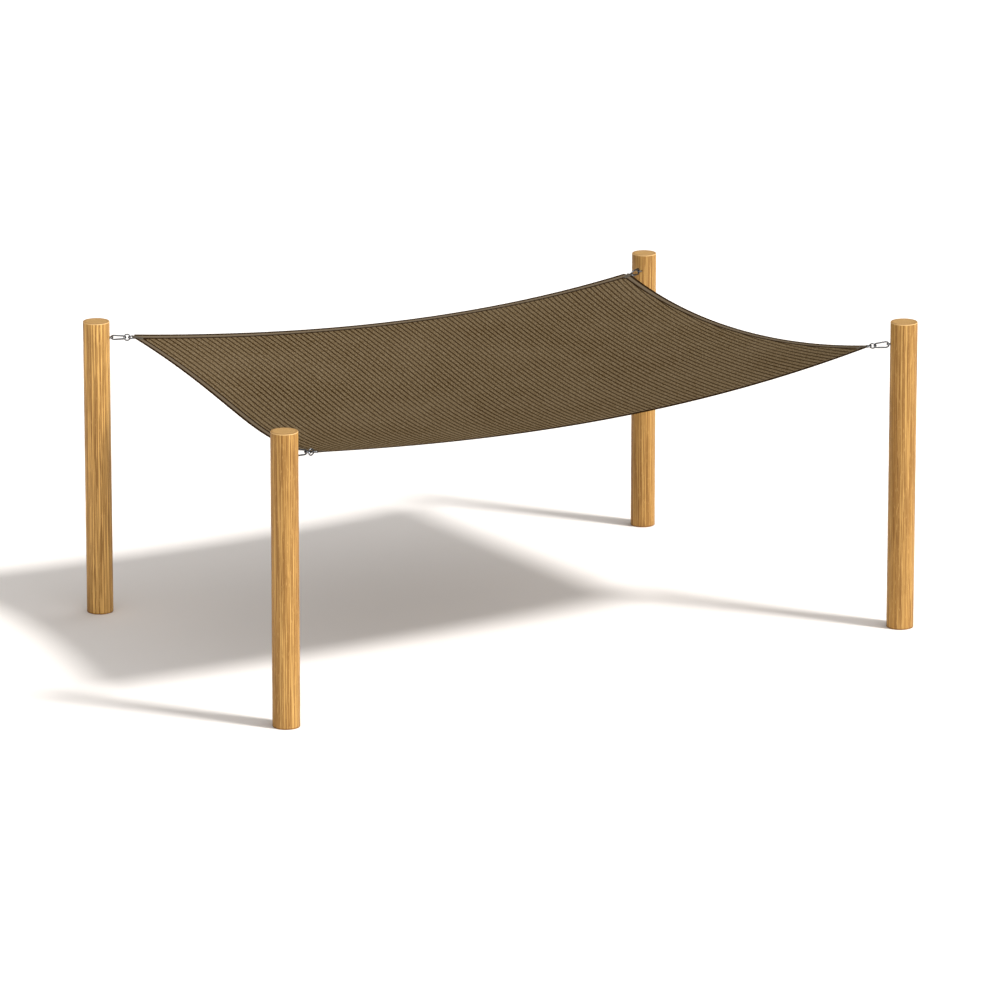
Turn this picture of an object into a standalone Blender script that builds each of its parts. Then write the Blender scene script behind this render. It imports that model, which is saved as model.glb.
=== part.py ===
"""Rectangular shade sail stretched between four round timber posts.

Metres, +Z up. +X runs along the long sides of the sail and +Y to the back. The origin lies on
the ground under the middle of the four posts. Each corner of the sail is cut blunt and carries
a webbing strap with a D-ring. From there, link rings and a pear-shaped steel link lead to a
staple in the post. The cloth hangs slack: its four edges sag, and its middle lies lowest.
"""

import math
from collections import namedtuple

import bmesh
import bpy
from mathutils import Matrix, Vector

# Each post, and the height at which the sail's edges reach it. The plan angles, in degrees from
# +X, are the way from the post along the chain, and the side of the post with the staple.
Corner = namedtuple(
    "Corner",
    "name x y height diameter staple_height sail_height chain_angle staple_angle link_rings",
)
LEFT = Corner("left", -2.452, 1.674, 2.287, 0.202, 2.159, 2.175, -30, -30, 1)
FRONT = Corner("front", -2.632, -1.662, 2.225, 0.203, 2.043, 2.020, 15, 15, 2)
BACK = Corner("back", 2.406, 1.722, 2.220, 0.191, 2.097, 2.099, 206, 218, 0)
RIGHT = Corner("right", 2.631, -1.715, 2.388, 0.205, 2.213, 2.210, 150, 150, 1)
CORNERS = (LEFT, FRONT, BACK, RIGHT)

# Each edge of the sail: how far its middle hangs down and is cut inward, and how far each of
# these leans from the start (-) towards the end (+).
Edge = namedtuple("Edge", "start end sag inward sag_lean inward_lean")
BACK_EDGE = Edge(LEFT, BACK, 0.136, 0.075, 0.13, 0.0)
FRONT_EDGE = Edge(FRONT, RIGHT, 0.198, 0.072, 0.155, 0.0)
LEFT_EDGE = Edge(LEFT, FRONT, 0.199, 0.144, 0.03, -1.0)
RIGHT_EDGE = Edge(BACK, RIGHT, 0.150, 0.100, 0.03, -0.19)
EDGES = (BACK_EDGE, FRONT_EDGE, LEFT_EDGE, RIGHT_EDGE)

# The middle of the cloth is drawn tighter than its edges alone would leave it, most to the right.
MIDDLE_LIFT = 0.086
MIDDLE_LIFT_LEAN = 0.8

CLOTH_THICKNESS = 0.002
HEM_THICKNESS = 0.003
HEM_WIDTH = 0.060
HEM_STEP = 0.004
LONG_CELLS = 28
SHORT_CELLS = 20
BLUNT_WIDTH = 0.110

POST_SIDES = 48
POST_TOP_CHAMFER = 0.006
POST_FOOT_CHAMFER = 0.004

GAP = 0.0008
STAPLE_WIRE = 0.009
STAPLE_RADIUS = 0.019
STAPLE_DEPTH = 0.030
HOLE_CLEARANCE = 0.0005
HOLE_SIDES = 12
STAPLE_GAP = 0.0032
POST_TO_PEAR = 0.0046
PEAR_WIRE = 0.0125
PEAR_WIDE_RADIUS = 0.0225
PEAR_NARROW_RADIUS = 0.0165
PEAR_CENTRES = 0.0705
LINK_WIRE = 0.011
LINK_RADIUS = 0.0235
LINK_STEPS = 20
D_WIRE = 0.011
D_RADIUS = 0.025
D_STRAIGHT = 0.008
D_BEND_RADIUS = 0.008
STRAP_WIDTH = 0.034
STRAP_THICKNESS = 0.002
STRAP_LENGTH = 0.070
STRAP_GAP = 0.0011
BAR_TO_CLOTH = 0.008

# How the pieces between a D-ring and its staple are turned about the chain, in degrees from
# upright: the link rings, counted from the D-ring, and last the pear link.
CHAIN_TURNS = {0: (0,), 1: (28, -34), 2: (0, 90, 0)}


def plan_direction(angle):
    """Unit vector in plan at an angle in degrees from +X."""
    return Vector((math.cos(math.radians(angle)), math.sin(math.radians(angle)), 0.0))


def staple_point(corner):
    """Point on the post's skin at the middle of its staple."""
    on_axis = Vector((corner.x, corner.y, corner.staple_height))
    return on_axis + plan_direction(corner.staple_angle) * corner.diameter / 2


def hooked(wire, inner_wire):
    """Distance between the centres of two wires that pull against each other."""
    return wire / 2 + GAP + inner_wire / 2


def chain_stations(corner):
    """Distances along the chain from the D-ring's bar to the middle of each link ring, to the
    middle of the pear link's narrow end and to the post's skin."""
    rings = []
    reach = D_STRAIGHT + D_RADIUS
    wire = D_WIRE
    for _ in range(corner.link_rings):
        near = reach - hooked(wire, LINK_WIRE)
        rings.append(near + LINK_RADIUS)
        reach = near + 2 * LINK_RADIUS
        wire = LINK_WIRE
    narrow = reach - hooked(wire, PEAR_WIRE) + PEAR_NARROW_RADIUS
    skin = narrow + PEAR_CENTRES + PEAR_WIDE_RADIUS + PEAR_WIRE / 2 + POST_TO_PEAR
    return rings, narrow, skin


def tip_in_plan(corner):
    """Middle of the sail's blunt corner, seen from above."""
    length = chain_stations(corner)[2] + BAR_TO_CLOTH
    tip = staple_point(corner) + plan_direction(corner.chain_angle) * length
    return Vector((tip.x, tip.y, 0.0))


def apex(corner):
    """Where the two edges beside a blunt corner would meet if they ran on."""
    tip = tip_in_plan(corner)
    away = plan_direction(corner.chain_angle)
    arms = []
    for edge in EDGES:
        if corner in (edge.start, edge.end):
            other = edge.end if corner is edge.start else edge.start
            along = (tip_in_plan(other) - tip).normalized()
            arms.append(along / along.dot(away))
    depth = BLUNT_WIDTH / (arms[0] - arms[1]).length
    point = tip - (arms[0] + arms[1]) * depth / 2
    return Vector((point.x, point.y, corner.sail_height))


APEX = {corner: apex(corner) for corner in CORNERS}


def edge_point(edge, t):
    """Point of a sagging edge, t from 0 at its start to 1 at its end."""
    start, end = APEX[edge.start], APEX[edge.end]
    inward = Vector((start.y - end.y, end.x - start.x, 0.0)).normalized()
    if inward.dot(start + end) > 0:
        inward = -inward
    bow = 4 * t * (1 - t)
    lean = 2 * t - 1
    point = start.lerp(end, t)
    point += inward * edge.inward * bow * (1 + edge.inward_lean * lean)
    point.z -= edge.sag * bow * (1 + edge.sag_lean * lean)
    return point


def sail_point(u, v):
    """Point of the cloth's middle surface: u runs from the left edge to the right one, and v
    from the back edge to the front one. The four edges are blended into one surface."""
    between_long = edge_point(BACK_EDGE, u).lerp(edge_point(FRONT_EDGE, u), v)
    between_short = edge_point(LEFT_EDGE, v).lerp(edge_point(RIGHT_EDGE, v), u)
    back_chord = APEX[LEFT].lerp(APEX[BACK], u)
    front_chord = APEX[FRONT].lerp(APEX[RIGHT], u)
    point = between_long + between_short - back_chord.lerp(front_chord, v)
    swell = 16 * u * (1 - u) * v * (1 - v)
    point.z += MIDDLE_LIFT * swell * (1 + MIDDLE_LIFT_LEAN * (2 * u - 1))
    return point


def frame_of(origin, along, beside):
    """Matrix with X along, Y as near to beside as it can be, and Z square to both."""
    x_axis = along.normalized()
    y_axis = (beside - x_axis * beside.dot(x_axis)).normalized()
    axes = Matrix((x_axis, y_axis, x_axis.cross(y_axis))).transposed()
    return Matrix.Translation(origin) @ axes.to_4x4()


def cloth_frame(corner):
    """Frame on the cloth at the middle of a blunt corner: X inward and Y up off the cloth."""
    goal = tip_in_plan(corner)
    u = 0 if corner in (LEFT, FRONT) else 1
    v = 0 if corner in (LEFT, BACK) else 1
    step = 0.001
    for _ in range(6):
        here = sail_point(u, v)
        along_u = (sail_point(u + step, v) - here) / step
        along_v = (sail_point(u, v + step) - here) / step
        miss = goal - here
        area = along_u.x * along_v.y - along_u.y * along_v.x
        u += (miss.x * along_v.y - miss.y * along_v.x) / area
        v += (miss.y * along_u.x - miss.x * along_u.y) / area
    tip = sail_point(u, v)
    up = along_v.cross(along_u).normalized()
    inward = tip - staple_point(corner)
    return frame_of(tip, inward - up * inward.dot(up), up)


def chain_frame(corner):
    """Frame at the middle of the D-ring's bar: X along the chain to the post, Y on the bar."""
    cloth = cloth_frame(corner)
    skin = staple_point(corner)
    from_post = (cloth.translation - skin).normalized()
    bar = skin + from_post * chain_stations(corner)[2]
    return frame_of(bar, -from_post, cloth.to_3x3().col[2])


def turned_frame(corner, distance, degrees):
    """Frame at a distance along the chain, its XY plane turned about the chain from upright."""
    bar = chain_frame(corner)
    here = bar @ Vector((distance, 0.0, 0.0))
    upright = frame_of(here, bar.to_3x3().col[0], Vector((0.0, 0.0, 1.0)))
    return upright @ Matrix.Rotation(math.radians(degrees), 4, "X")


def staple_frame(corner):
    """Frame on the post's skin: X out of the post, Y level, towards one leg of the staple."""
    out = plan_direction(corner.staple_angle)
    return frame_of(staple_point(corner), out, Vector((-out.y, out.x, 0.0)))


def new_material(name, colour, roughness, metallic=0.0):
    """Plain Principled material in linear colour."""
    material = bpy.data.materials.new(name)
    material.use_nodes = True
    shader = material.node_tree.nodes["Principled BSDF"]
    shader.inputs["Base Color"].default_value = (*colour, 1.0)
    shader.inputs["Roughness"].default_value = roughness
    shader.inputs["Metallic"].default_value = metallic
    return material


def add_object(name, data, matrix, collection, material=None):
    """Put data in the scene as an object."""
    made = bpy.data.objects.new(name, data)
    made.matrix_world = matrix
    collection.objects.link(made)
    if material:
        data.materials.append(material)
    return made


def mesh_from(name, build):
    """Mesh of what a build function adds to an empty bmesh."""
    bm = bmesh.new()
    build(bm)
    mesh = bpy.data.meshes.new(name)
    bm.to_mesh(mesh)
    bm.free()
    return mesh


def poly_curve(name, points, cyclic=False):
    """Curve of straight steps through points in its XY plane."""
    curve = bpy.data.curves.new(name, "CURVE")
    curve.dimensions = "2D"
    spline = curve.splines.new("POLY")
    spline.points.add(len(points) - 1)
    for target, point in zip(spline.points, points):
        target.co = (*point, 1.0)
    spline.use_cyclic_u = cyclic
    return curve


def wire_curve(name, points, thickness, cyclic=True):
    """Round wire bent along points in its XY plane."""
    curve = poly_curve(name, points, cyclic)
    curve.dimensions = "3D"
    curve.fill_mode = "FULL"
    curve.bevel_depth = thickness / 2
    curve.bevel_resolution = 2
    curve.use_fill_caps = not cyclic
    return curve


def arc(centre_x, centre_y, radius, first, last, steps):
    """Points on an arc in the XY plane, its angles in degrees."""
    centre = Vector((centre_x, centre_y, 0.0))
    angles = (first + (last - first) * i / steps for i in range(steps + 1))
    return [centre + plan_direction(angle) * radius for angle in angles]


def add_cylinder(bm, diameter, length, sides, matrix):
    """Closed cylinder along the matrix's Z, its middle at the matrix's origin."""
    bmesh.ops.create_cone(
        bm,
        cap_ends=True,
        segments=sides,
        radius1=diameter / 2,
        radius2=diameter / 2,
        depth=length,
        matrix=matrix,
    )


def chamfer_rim(bm, height, width):
    """Bevel the edges that lie at one height."""
    rim = [
        edge for edge in bm.edges if all(abs(v.co.z - height) < GAP for v in edge.verts)
    ]
    bmesh.ops.bevel(bm, geom=rim, offset=width, segments=1, affect="EDGES")


def add_post(corner, collection, cutters, timber):
    """Round timber post with a chamfered top and foot, drilled for its staple."""

    def turn_post(bm):
        middle = Matrix.Translation((0.0, 0.0, corner.height / 2))
        add_cylinder(bm, corner.diameter, corner.height, POST_SIDES, middle)
        chamfer_rim(bm, corner.height, POST_TOP_CHAMFER)
        chamfer_rim(bm, 0.0, POST_FOOT_CHAMFER)

    def drill(bm):
        lying = Matrix.Rotation(math.pi / 2, 4, "Y")
        for side in (-1, 1):
            place = Matrix.Translation((0.0, side * STAPLE_RADIUS, 0.0))
            width = STAPLE_WIRE + 2 * HOLE_CLEARANCE
            add_cylinder(bm, width, 2 * (STAPLE_DEPTH + GAP), HOLE_SIDES, place @ lying)

    name = f"post_{corner.name}"
    mesh = mesh_from(name, turn_post)
    mesh.shade_smooth()
    mesh.set_sharp_from_angle(angle=math.radians(30))
    standing = Matrix.Translation((corner.x, corner.y, 0.0))
    post = add_object(name, mesh, standing, collection, timber)

    name = f"staple_holes_{corner.name}"
    cutter = add_object(name, mesh_from(name, drill), staple_frame(corner), cutters)
    cutter.hide_render = True
    cutter.display_type = "WIRE"
    cut = post.modifiers.new("Staple holes", "BOOLEAN")
    cut.operation = "DIFFERENCE"
    cut.object = cutter


def add_staple(corner, collection, steel):
    """Round wire staple whose crown holds the pear link's wide end."""
    crown = POST_TO_PEAR + PEAR_WIRE + STAPLE_GAP + STAPLE_WIRE / 2
    points = arc(crown - STAPLE_RADIUS, 0.0, STAPLE_RADIUS, -90, 90, 10)
    points.insert(0, Vector((-STAPLE_DEPTH, -STAPLE_RADIUS, 0.0)))
    points.append(Vector((-STAPLE_DEPTH, STAPLE_RADIUS, 0.0)))
    name = f"staple_{corner.name}"
    wire = wire_curve(name, points, STAPLE_WIRE, cyclic=False)
    add_object(name, wire, staple_frame(corner), collection, steel)


def add_pear_link(corner, collection, steel):
    """Pear-shaped wire link, its wide end at the post."""
    narrowing = (PEAR_WIDE_RADIUS - PEAR_NARROW_RADIUS) / PEAR_CENTRES
    flank = math.degrees(math.acos(-narrowing))
    points = arc(0.0, 0.0, PEAR_NARROW_RADIUS, flank, 360 - flank, 7)
    points += arc(PEAR_CENTRES, 0.0, PEAR_WIDE_RADIUS, -flank, flank, 13)
    name = f"pear_link_{corner.name}"
    place = turned_frame(
        corner, chain_stations(corner)[1], CHAIN_TURNS[corner.link_rings][-1]
    )
    wire = wire_curve(name, points, PEAR_WIRE)
    add_object(name, wire, place, collection, steel)


def add_link_rings(corner, collection, steel):
    """Round rings between the D-ring and the pear link."""
    turns = CHAIN_TURNS[corner.link_rings]
    for i, distance in enumerate(chain_stations(corner)[0]):
        name = f"link_ring_{corner.name}_{i + 1}"
        points = arc(0.0, 0.0, LINK_RADIUS, 0, 360, LINK_STEPS)[:-1]
        wire = wire_curve(name, points, LINK_WIRE)
        place = turned_frame(corner, distance, turns[i])
        add_object(name, wire, place, collection, steel)


def add_d_ring(corner, collection, steel):
    """D-ring whose straight bar lies in the strap."""
    inset = D_RADIUS - D_BEND_RADIUS
    points = arc(D_BEND_RADIUS, -inset, D_BEND_RADIUS, 180, 270, 3)
    points += arc(D_STRAIGHT, 0.0, D_RADIUS, -90, 90, 12)
    points += arc(D_BEND_RADIUS, inset, D_BEND_RADIUS, 90, 180, 3)
    name = f"d_ring_{corner.name}"
    wire = wire_curve(name, points, D_WIRE)
    add_object(name, wire, chain_frame(corner), collection, steel)


def add_strap(corner, collection, webbing):
    """Webbing strap that loops round the D-ring's bar and grips the cloth above and below."""
    half = STRAP_THICKNESS / 2
    layer = HEM_THICKNESS / 2 + STRAP_GAP + half
    around = D_WIRE / 2 + GAP + half
    frame = cloth_frame(corner)
    bar = frame.inverted() @ chain_frame(corner).translation
    points = [Vector((STRAP_LENGTH, layer, 0.0)), Vector((0.0, layer, 0.0))]
    points += arc(bar.x, bar.y, around, 70, 290, 9)
    points += [Vector((0.0, -layer, 0.0)), Vector((STRAP_LENGTH, -layer, 0.0))]
    name = f"corner_strap_{corner.name}"
    ribbon = poly_curve(name, points)
    ribbon.fill_mode = "NONE"
    ribbon.extrude = STRAP_WIDTH / 2
    strap = add_object(name, ribbon, frame, collection, webbing)
    wall = strap.modifiers.new("Thickness", "SOLIDIFY")
    wall.thickness = STRAP_THICKNESS
    wall.offset = 0.0
    wall.use_even_offset = True


def cell_lines(cells, hem):
    """Cell lines from 0 to 1, the outer cells being the hems and the next ones their steps."""
    step = hem * HEM_STEP / HEM_WIDTH
    inner = 1 - 2 * (hem + step)
    middle = [hem + step + inner * i / (cells - 4) for i in range(cells - 3)]
    return [0.0, hem, *middle, 1 - hem, 1.0]


def add_sail(collection, cloth):
    """The cloth, one sheet with its hems turned in and its four corners cut blunt."""
    long_side = (APEX[BACK] - APEX[LEFT]).length
    short_side = (APEX[FRONT] - APEX[LEFT]).length
    u_lines = cell_lines(LONG_CELLS, HEM_WIDTH / long_side)
    v_lines = cell_lines(SHORT_CELLS, HEM_WIDTH / short_side)

    def stretch(bm):
        bmesh.ops.create_grid(
            bm, x_segments=LONG_CELLS, y_segments=SHORT_CELLS, size=0.5
        )
        weights = bm.verts.layers.deform.verify()
        for vert in bm.verts:
            i = round((vert.co.x + 0.5) * LONG_CELLS)
            j = round((0.5 - vert.co.y) * SHORT_CELLS)
            in_hem = min(i, LONG_CELLS - i, j, SHORT_CELLS - j) <= 1
            vert[weights][0] = 1.0 if in_hem else CLOTH_THICKNESS / HEM_THICKNESS
            vert.co = sail_point(u_lines[i], v_lines[j])
        for corner in CORNERS:
            bmesh.ops.bisect_plane(
                bm,
                geom=bm.verts[:] + bm.edges[:] + bm.faces[:],
                plane_co=tip_in_plan(corner),
                plane_no=-plan_direction(corner.chain_angle),
                clear_outer=True,
            )

    name = "sail_cloth"
    mesh = mesh_from(name, stretch)
    mesh.shade_smooth()
    sail = add_object(name, mesh, Matrix(), collection, cloth)
    sail.vertex_groups.new(name="Hem")
    sheet = sail.modifiers.new("Thickness", "SOLIDIFY")
    sheet.thickness = HEM_THICKNESS
    sheet.offset = 0.0
    sheet.vertex_group = "Hem"


def main():
    """Clear the scene and build every piece."""
    for old in list(bpy.data.objects):
        bpy.data.objects.remove(old, do_unlink=True)
    parts = bpy.data.collections.new("Shade sail and posts")
    cutters = bpy.data.collections.new("Cutters")
    for collection in (parts, cutters):
        bpy.context.scene.collection.children.link(collection)
    timber = new_material("Timber", (0.52, 0.29, 0.10), 0.6)
    steel = new_material("Steel", (0.55, 0.56, 0.57), 0.3, 1.0)
    webbing = new_material("Webbing", (0.06, 0.06, 0.05), 0.8)
    cloth = new_material("Shade cloth", (0.17, 0.12, 0.06), 0.85)
    add_sail(parts, cloth)
    for corner in CORNERS:
        add_post(corner, parts, cutters, timber)
        add_staple(corner, parts, steel)
        add_pear_link(corner, parts, steel)
        add_link_rings(corner, parts, steel)
        add_d_ring(corner, parts, steel)
        add_strap(corner, parts, webbing)


main()
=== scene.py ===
"""Looks of a rectangular shade sail that hangs slack between four round timber posts.

Metres, +Z up. +X runs along the long sides of the sail and +Y to the back. The origin lies on the
ground under the middle of the four posts. The knitted cloth has its hems turned in along four
edges and its corners cut blunt. From each corner a sewn webbing loop, a D-ring, up to two link
rings and a pear-shaped link lead to a staple in the post.
"""

import logging
import math
from collections.abc import Callable, Sequence
from dataclasses import dataclass
from enum import Enum
from functools import cached_property

import bmesh
import bpy
import numpy as np
from mathutils import Matrix, Vector


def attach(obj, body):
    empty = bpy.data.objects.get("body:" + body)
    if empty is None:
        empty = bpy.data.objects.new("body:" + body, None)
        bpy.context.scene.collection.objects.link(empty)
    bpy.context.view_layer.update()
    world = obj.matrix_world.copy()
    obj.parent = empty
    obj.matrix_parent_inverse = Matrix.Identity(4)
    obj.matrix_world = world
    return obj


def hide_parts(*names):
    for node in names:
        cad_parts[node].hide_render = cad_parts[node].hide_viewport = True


LOG = logging.getLogger("shade_sail")
BODY = "root"
# How close, in metres, counts as one height and as one point.
LEVEL = 1e-5
MERGE = 1e-6

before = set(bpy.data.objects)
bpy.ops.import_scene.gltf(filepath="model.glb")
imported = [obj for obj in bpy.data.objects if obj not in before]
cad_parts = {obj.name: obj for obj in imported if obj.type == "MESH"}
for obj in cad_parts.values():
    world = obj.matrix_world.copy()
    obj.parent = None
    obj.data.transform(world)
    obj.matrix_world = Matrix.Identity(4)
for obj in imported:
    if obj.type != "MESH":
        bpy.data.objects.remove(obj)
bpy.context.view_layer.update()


# ---------------------------------------------------------------- where everything hangs


@dataclass(frozen=True)
class Corner:
    """One post and the corner of the sail that it holds.

    chain_angle and staple_angle are plan angles in degrees from +X: the way from the post along
    the chain, and the side of the post with the staple. turns gives, for each link ring from the
    D-ring on and last for the pear link, its turn about the chain in degrees from upright.
    """

    name: str
    x: float
    y: float
    height: float
    diameter: float
    staple_height: float
    sail_height: float
    chain_angle: float
    staple_angle: float
    turns: tuple[float, ...]

    @property
    def link_rings(self) -> int:
        """How many link rings hang between the D-ring and the pear link."""
        return len(self.turns) - 1


@dataclass(frozen=True)
class Edge:
    """One edge of the sail: how far its middle sags and is cut inward, and how these lean."""

    start: Corner
    end: Corner
    sag: float
    inward: float
    sag_lean: float
    inward_lean: float


LEFT = Corner("left", -2.452, 1.674, 2.287, 0.202, 2.159, 2.175, -30, -30, (28, -34))
FRONT = Corner("front", -2.632, -1.662, 2.225, 0.203, 2.043, 2.020, 15, 15, (0, 90, 0))
BACK = Corner("back", 2.406, 1.722, 2.220, 0.191, 2.097, 2.099, 206, 218, (0,))
RIGHT = Corner("right", 2.631, -1.715, 2.388, 0.205, 2.213, 2.210, 150, 150, (28, -34))
CORNERS = (LEFT, FRONT, BACK, RIGHT)


def plan_direction(degrees: float) -> Vector:
    """Unit vector in plan at an angle from +X."""
    return Vector((math.cos(math.radians(degrees)), math.sin(math.radians(degrees)), 0.0))


def frame_of(origin: Vector, along: Vector, beside: Vector) -> Matrix:
    """Build a frame from two directions.

    Args:
        origin: where the frame stands.
        along: its X axis.
        beside: what its Y axis comes as near to as it can.

    Returns:
        The matrix that carries the frame's coordinates to the scene's.
    """
    x_axis = along.normalized()
    y_axis = (beside - x_axis * beside.dot(x_axis)).normalized()
    axes = Matrix((x_axis, y_axis, x_axis.cross(y_axis))).transposed()
    return Matrix.Translation(origin) @ axes.to_4x4()


@dataclass(frozen=True)
class Hardware:
    """Sizes of the bent wire at the corners, and how far apart pieces lie that pull."""

    gap: float = 0.0008
    staple_wire: float = 0.009
    staple_radius: float = 0.019
    staple_depth: float = 0.030
    staple_gap: float = 0.0032
    post_to_pear: float = 0.0046
    pear_wire: float = 0.0125
    pear_wide_radius: float = 0.0225
    pear_narrow_radius: float = 0.0165
    pear_centres: float = 0.0705
    link_wire: float = 0.011
    link_radius: float = 0.0235
    d_wire: float = 0.011
    d_radius: float = 0.025
    d_straight: float = 0.008
    d_bend_radius: float = 0.008
    bar_to_cloth: float = 0.008

    def hooked(self, wire: float, inner_wire: float) -> float:
        """Distance between the centres of two wires that pull against each other."""
        return wire / 2 + self.gap + inner_wire / 2

    def stations(self, corner: Corner) -> tuple[list[float], float, float]:
        """Measure the chain from the D-ring's bar.

        Args:
            corner: the corner whose chain it is.

        Returns:
            The distances to the middle of each link ring, to the middle of the pear link's
            narrow end and to the post's skin.
        """
        rings = []
        reach = self.d_straight + self.d_radius
        wire = self.d_wire
        for _ in range(corner.link_rings):
            near = reach - self.hooked(wire, self.link_wire)
            rings.append(near + self.link_radius)
            reach = near + 2 * self.link_radius
            wire = self.link_wire
        narrow = reach - self.hooked(wire, self.pear_wire) + self.pear_narrow_radius
        skin = narrow + self.pear_centres + self.pear_wide_radius
        return rings, narrow, skin + self.pear_wire / 2 + self.post_to_pear

    def staple_point(self, corner: Corner) -> Vector:
        """Point on the post's skin at the middle of its staple."""
        on_axis = Vector((corner.x, corner.y, corner.staple_height))
        return on_axis + plan_direction(corner.staple_angle) * corner.diameter / 2

    def staple_frame(self, corner: Corner) -> Matrix:
        """Frame on the post's skin: X out of the post, Y level, towards one staple leg."""
        out = plan_direction(corner.staple_angle)
        return frame_of(self.staple_point(corner), out, Vector((-out.y, out.x, 0.0)))

    def tip_in_plan(self, corner: Corner) -> Vector:
        """Middle of the sail's blunt corner, seen from above."""
        length = self.stations(corner)[2] + self.bar_to_cloth
        tip = self.staple_point(corner) + plan_direction(corner.chain_angle) * length
        return Vector((tip.x, tip.y, 0.0))


@dataclass(frozen=True)
class Layout:
    """The surface in which the cloth hangs, blended from its four sagging edges."""

    hardware: Hardware = Hardware()
    back: Edge = Edge(LEFT, BACK, 0.136, 0.075, 0.13, 0.0)
    front: Edge = Edge(FRONT, RIGHT, 0.198, 0.072, 0.155, 0.0)
    left: Edge = Edge(LEFT, FRONT, 0.199, 0.144, 0.03, -1.0)
    right: Edge = Edge(BACK, RIGHT, 0.150, 0.100, 0.03, -0.19)
    middle_lift: float = 0.086
    middle_lift_lean: float = 0.8
    blunt_width: float = 0.110

    @cached_property
    def apexes(self) -> dict[str, np.ndarray]:
        """Where the two edges beside each blunt corner would meet if they ran on."""
        return {corner.name: self._apex(corner) for corner in CORNERS}

    def _apex(self, corner: Corner) -> np.ndarray:
        """Find one apex from the width of the blunt cut.

        Args:
            corner: the corner of the sail.

        Returns:
            The apex as three coordinates.
        """
        tip = self.hardware.tip_in_plan(corner)
        away = plan_direction(corner.chain_angle)
        arms = []
        for edge in (self.back, self.front, self.left, self.right):
            if corner in (edge.start, edge.end):
                other = edge.end if corner is edge.start else edge.start
                along = (self.hardware.tip_in_plan(other) - tip).normalized()
                arms.append(along / along.dot(away))
        depth = self.blunt_width / (arms[0] - arms[1]).length
        point = tip - (arms[0] + arms[1]) * depth / 2
        return np.array((point.x, point.y, corner.sail_height))

    def edge_points(self, edge: Edge, t: np.ndarray) -> np.ndarray:
        """Points of a sagging edge, t from 0 at its start to 1 at its end."""
        start, end = self.apexes[edge.start.name], self.apexes[edge.end.name]
        inward = np.array((start[1] - end[1], end[0] - start[0], 0.0))
        inward /= np.linalg.norm(inward)
        if inward @ (start + end) > 0:
            inward = -inward
        bow = 4 * t * (1 - t)
        lean = 2 * t - 1
        points = start + (end - start) * t[..., None]
        points = points + inward * (edge.inward * bow * (1 + edge.inward_lean * lean))[..., None]
        points[..., 2] -= edge.sag * bow * (1 + edge.sag_lean * lean)
        return points

    def points(self, u: np.ndarray, v: np.ndarray) -> np.ndarray:
        """Find points of the cloth's middle surface.

        Args:
            u: from 0 at the left edge to 1 at the right one.
            v: from 0 at the back edge to 1 at the front one, of the same shape.

        Returns:
            The points, in an array with one more axis.
        """

        def between(first: np.ndarray, second: np.ndarray, t: np.ndarray) -> np.ndarray:
            """Blend two arrays of points."""
            return first + (second - first) * t[..., None]

        apexes = self.apexes
        long_way = between(self.edge_points(self.back, u), self.edge_points(self.front, u), v)
        short_way = between(self.edge_points(self.left, v), self.edge_points(self.right, v), u)
        back_chord = between(apexes["left"], apexes["back"], u)
        front_chord = between(apexes["front"], apexes["right"], u)
        points = long_way + short_way - between(back_chord, front_chord, v)
        swell = 16 * u * (1 - u) * v * (1 - v)
        points[..., 2] += self.middle_lift * swell * (1 + self.middle_lift_lean * (2 * u - 1))
        return points

    def slopes(self, u: np.ndarray, v: np.ndarray) -> tuple[np.ndarray, np.ndarray, np.ndarray]:
        """Directions of the surface at points: along u, along v, and up off the cloth."""
        step = 1e-4
        along_u = (self.points(u + step, v) - self.points(u - step, v)) / (2 * step)
        along_v = (self.points(u, v + step) - self.points(u, v - step)) / (2 * step)
        up = np.cross(along_v, along_u)
        return along_u, along_v, up / np.linalg.norm(up, axis=-1, keepdims=True)

    def cloth_frame(self, corner: Corner) -> Matrix:
        """Frame on the cloth at the middle of a blunt corner: X inward and Y up off it."""
        goal = self.hardware.tip_in_plan(corner)
        u = np.array(0.0 if corner in (LEFT, FRONT) else 1.0)
        v = np.array(0.0 if corner in (LEFT, BACK) else 1.0)
        for _ in range(6):
            along_u, along_v, _up = self.slopes(u, v)
            miss = np.array(goal) - self.points(u, v)
            area = along_u[0] * along_v[1] - along_u[1] * along_v[0]
            u = u + (miss[0] * along_v[1] - miss[1] * along_v[0]) / area
            v = v + (miss[1] * along_u[0] - miss[0] * along_u[1]) / area
        tip = Vector(self.points(u, v))
        up = Vector(self.slopes(u, v)[2])
        inward = tip - self.hardware.staple_point(corner)
        return frame_of(tip, inward - up * inward.dot(up), up)

    def chain_frame(self, corner: Corner) -> Matrix:
        """Frame at the middle of the D-ring's bar: X along the chain, Y on the bar."""
        cloth = self.cloth_frame(corner)
        skin = self.hardware.staple_point(corner)
        from_post = (cloth.translation - skin).normalized()
        bar = skin + from_post * self.hardware.stations(corner)[2]
        return frame_of(bar, -from_post, cloth.to_3x3().col[2])

    def turned_frame(self, corner: Corner, distance: float, degrees: float) -> Matrix:
        """Frame along the chain, its XY plane turned about the chain.

        Args:
            corner: the corner whose chain it is.
            distance: how far from the D-ring's bar it stands.
            degrees: its turn from upright.

        Returns:
            The frame's matrix.
        """
        bar = self.chain_frame(corner)
        here = bar @ Vector((distance, 0.0, 0.0))
        upright = frame_of(here, bar.to_3x3().col[0], Vector((0.0, 0.0, 1.0)))
        return upright @ Matrix.Rotation(math.radians(degrees), 4, "X")


# ---------------------------------------------------------------- materials


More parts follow.
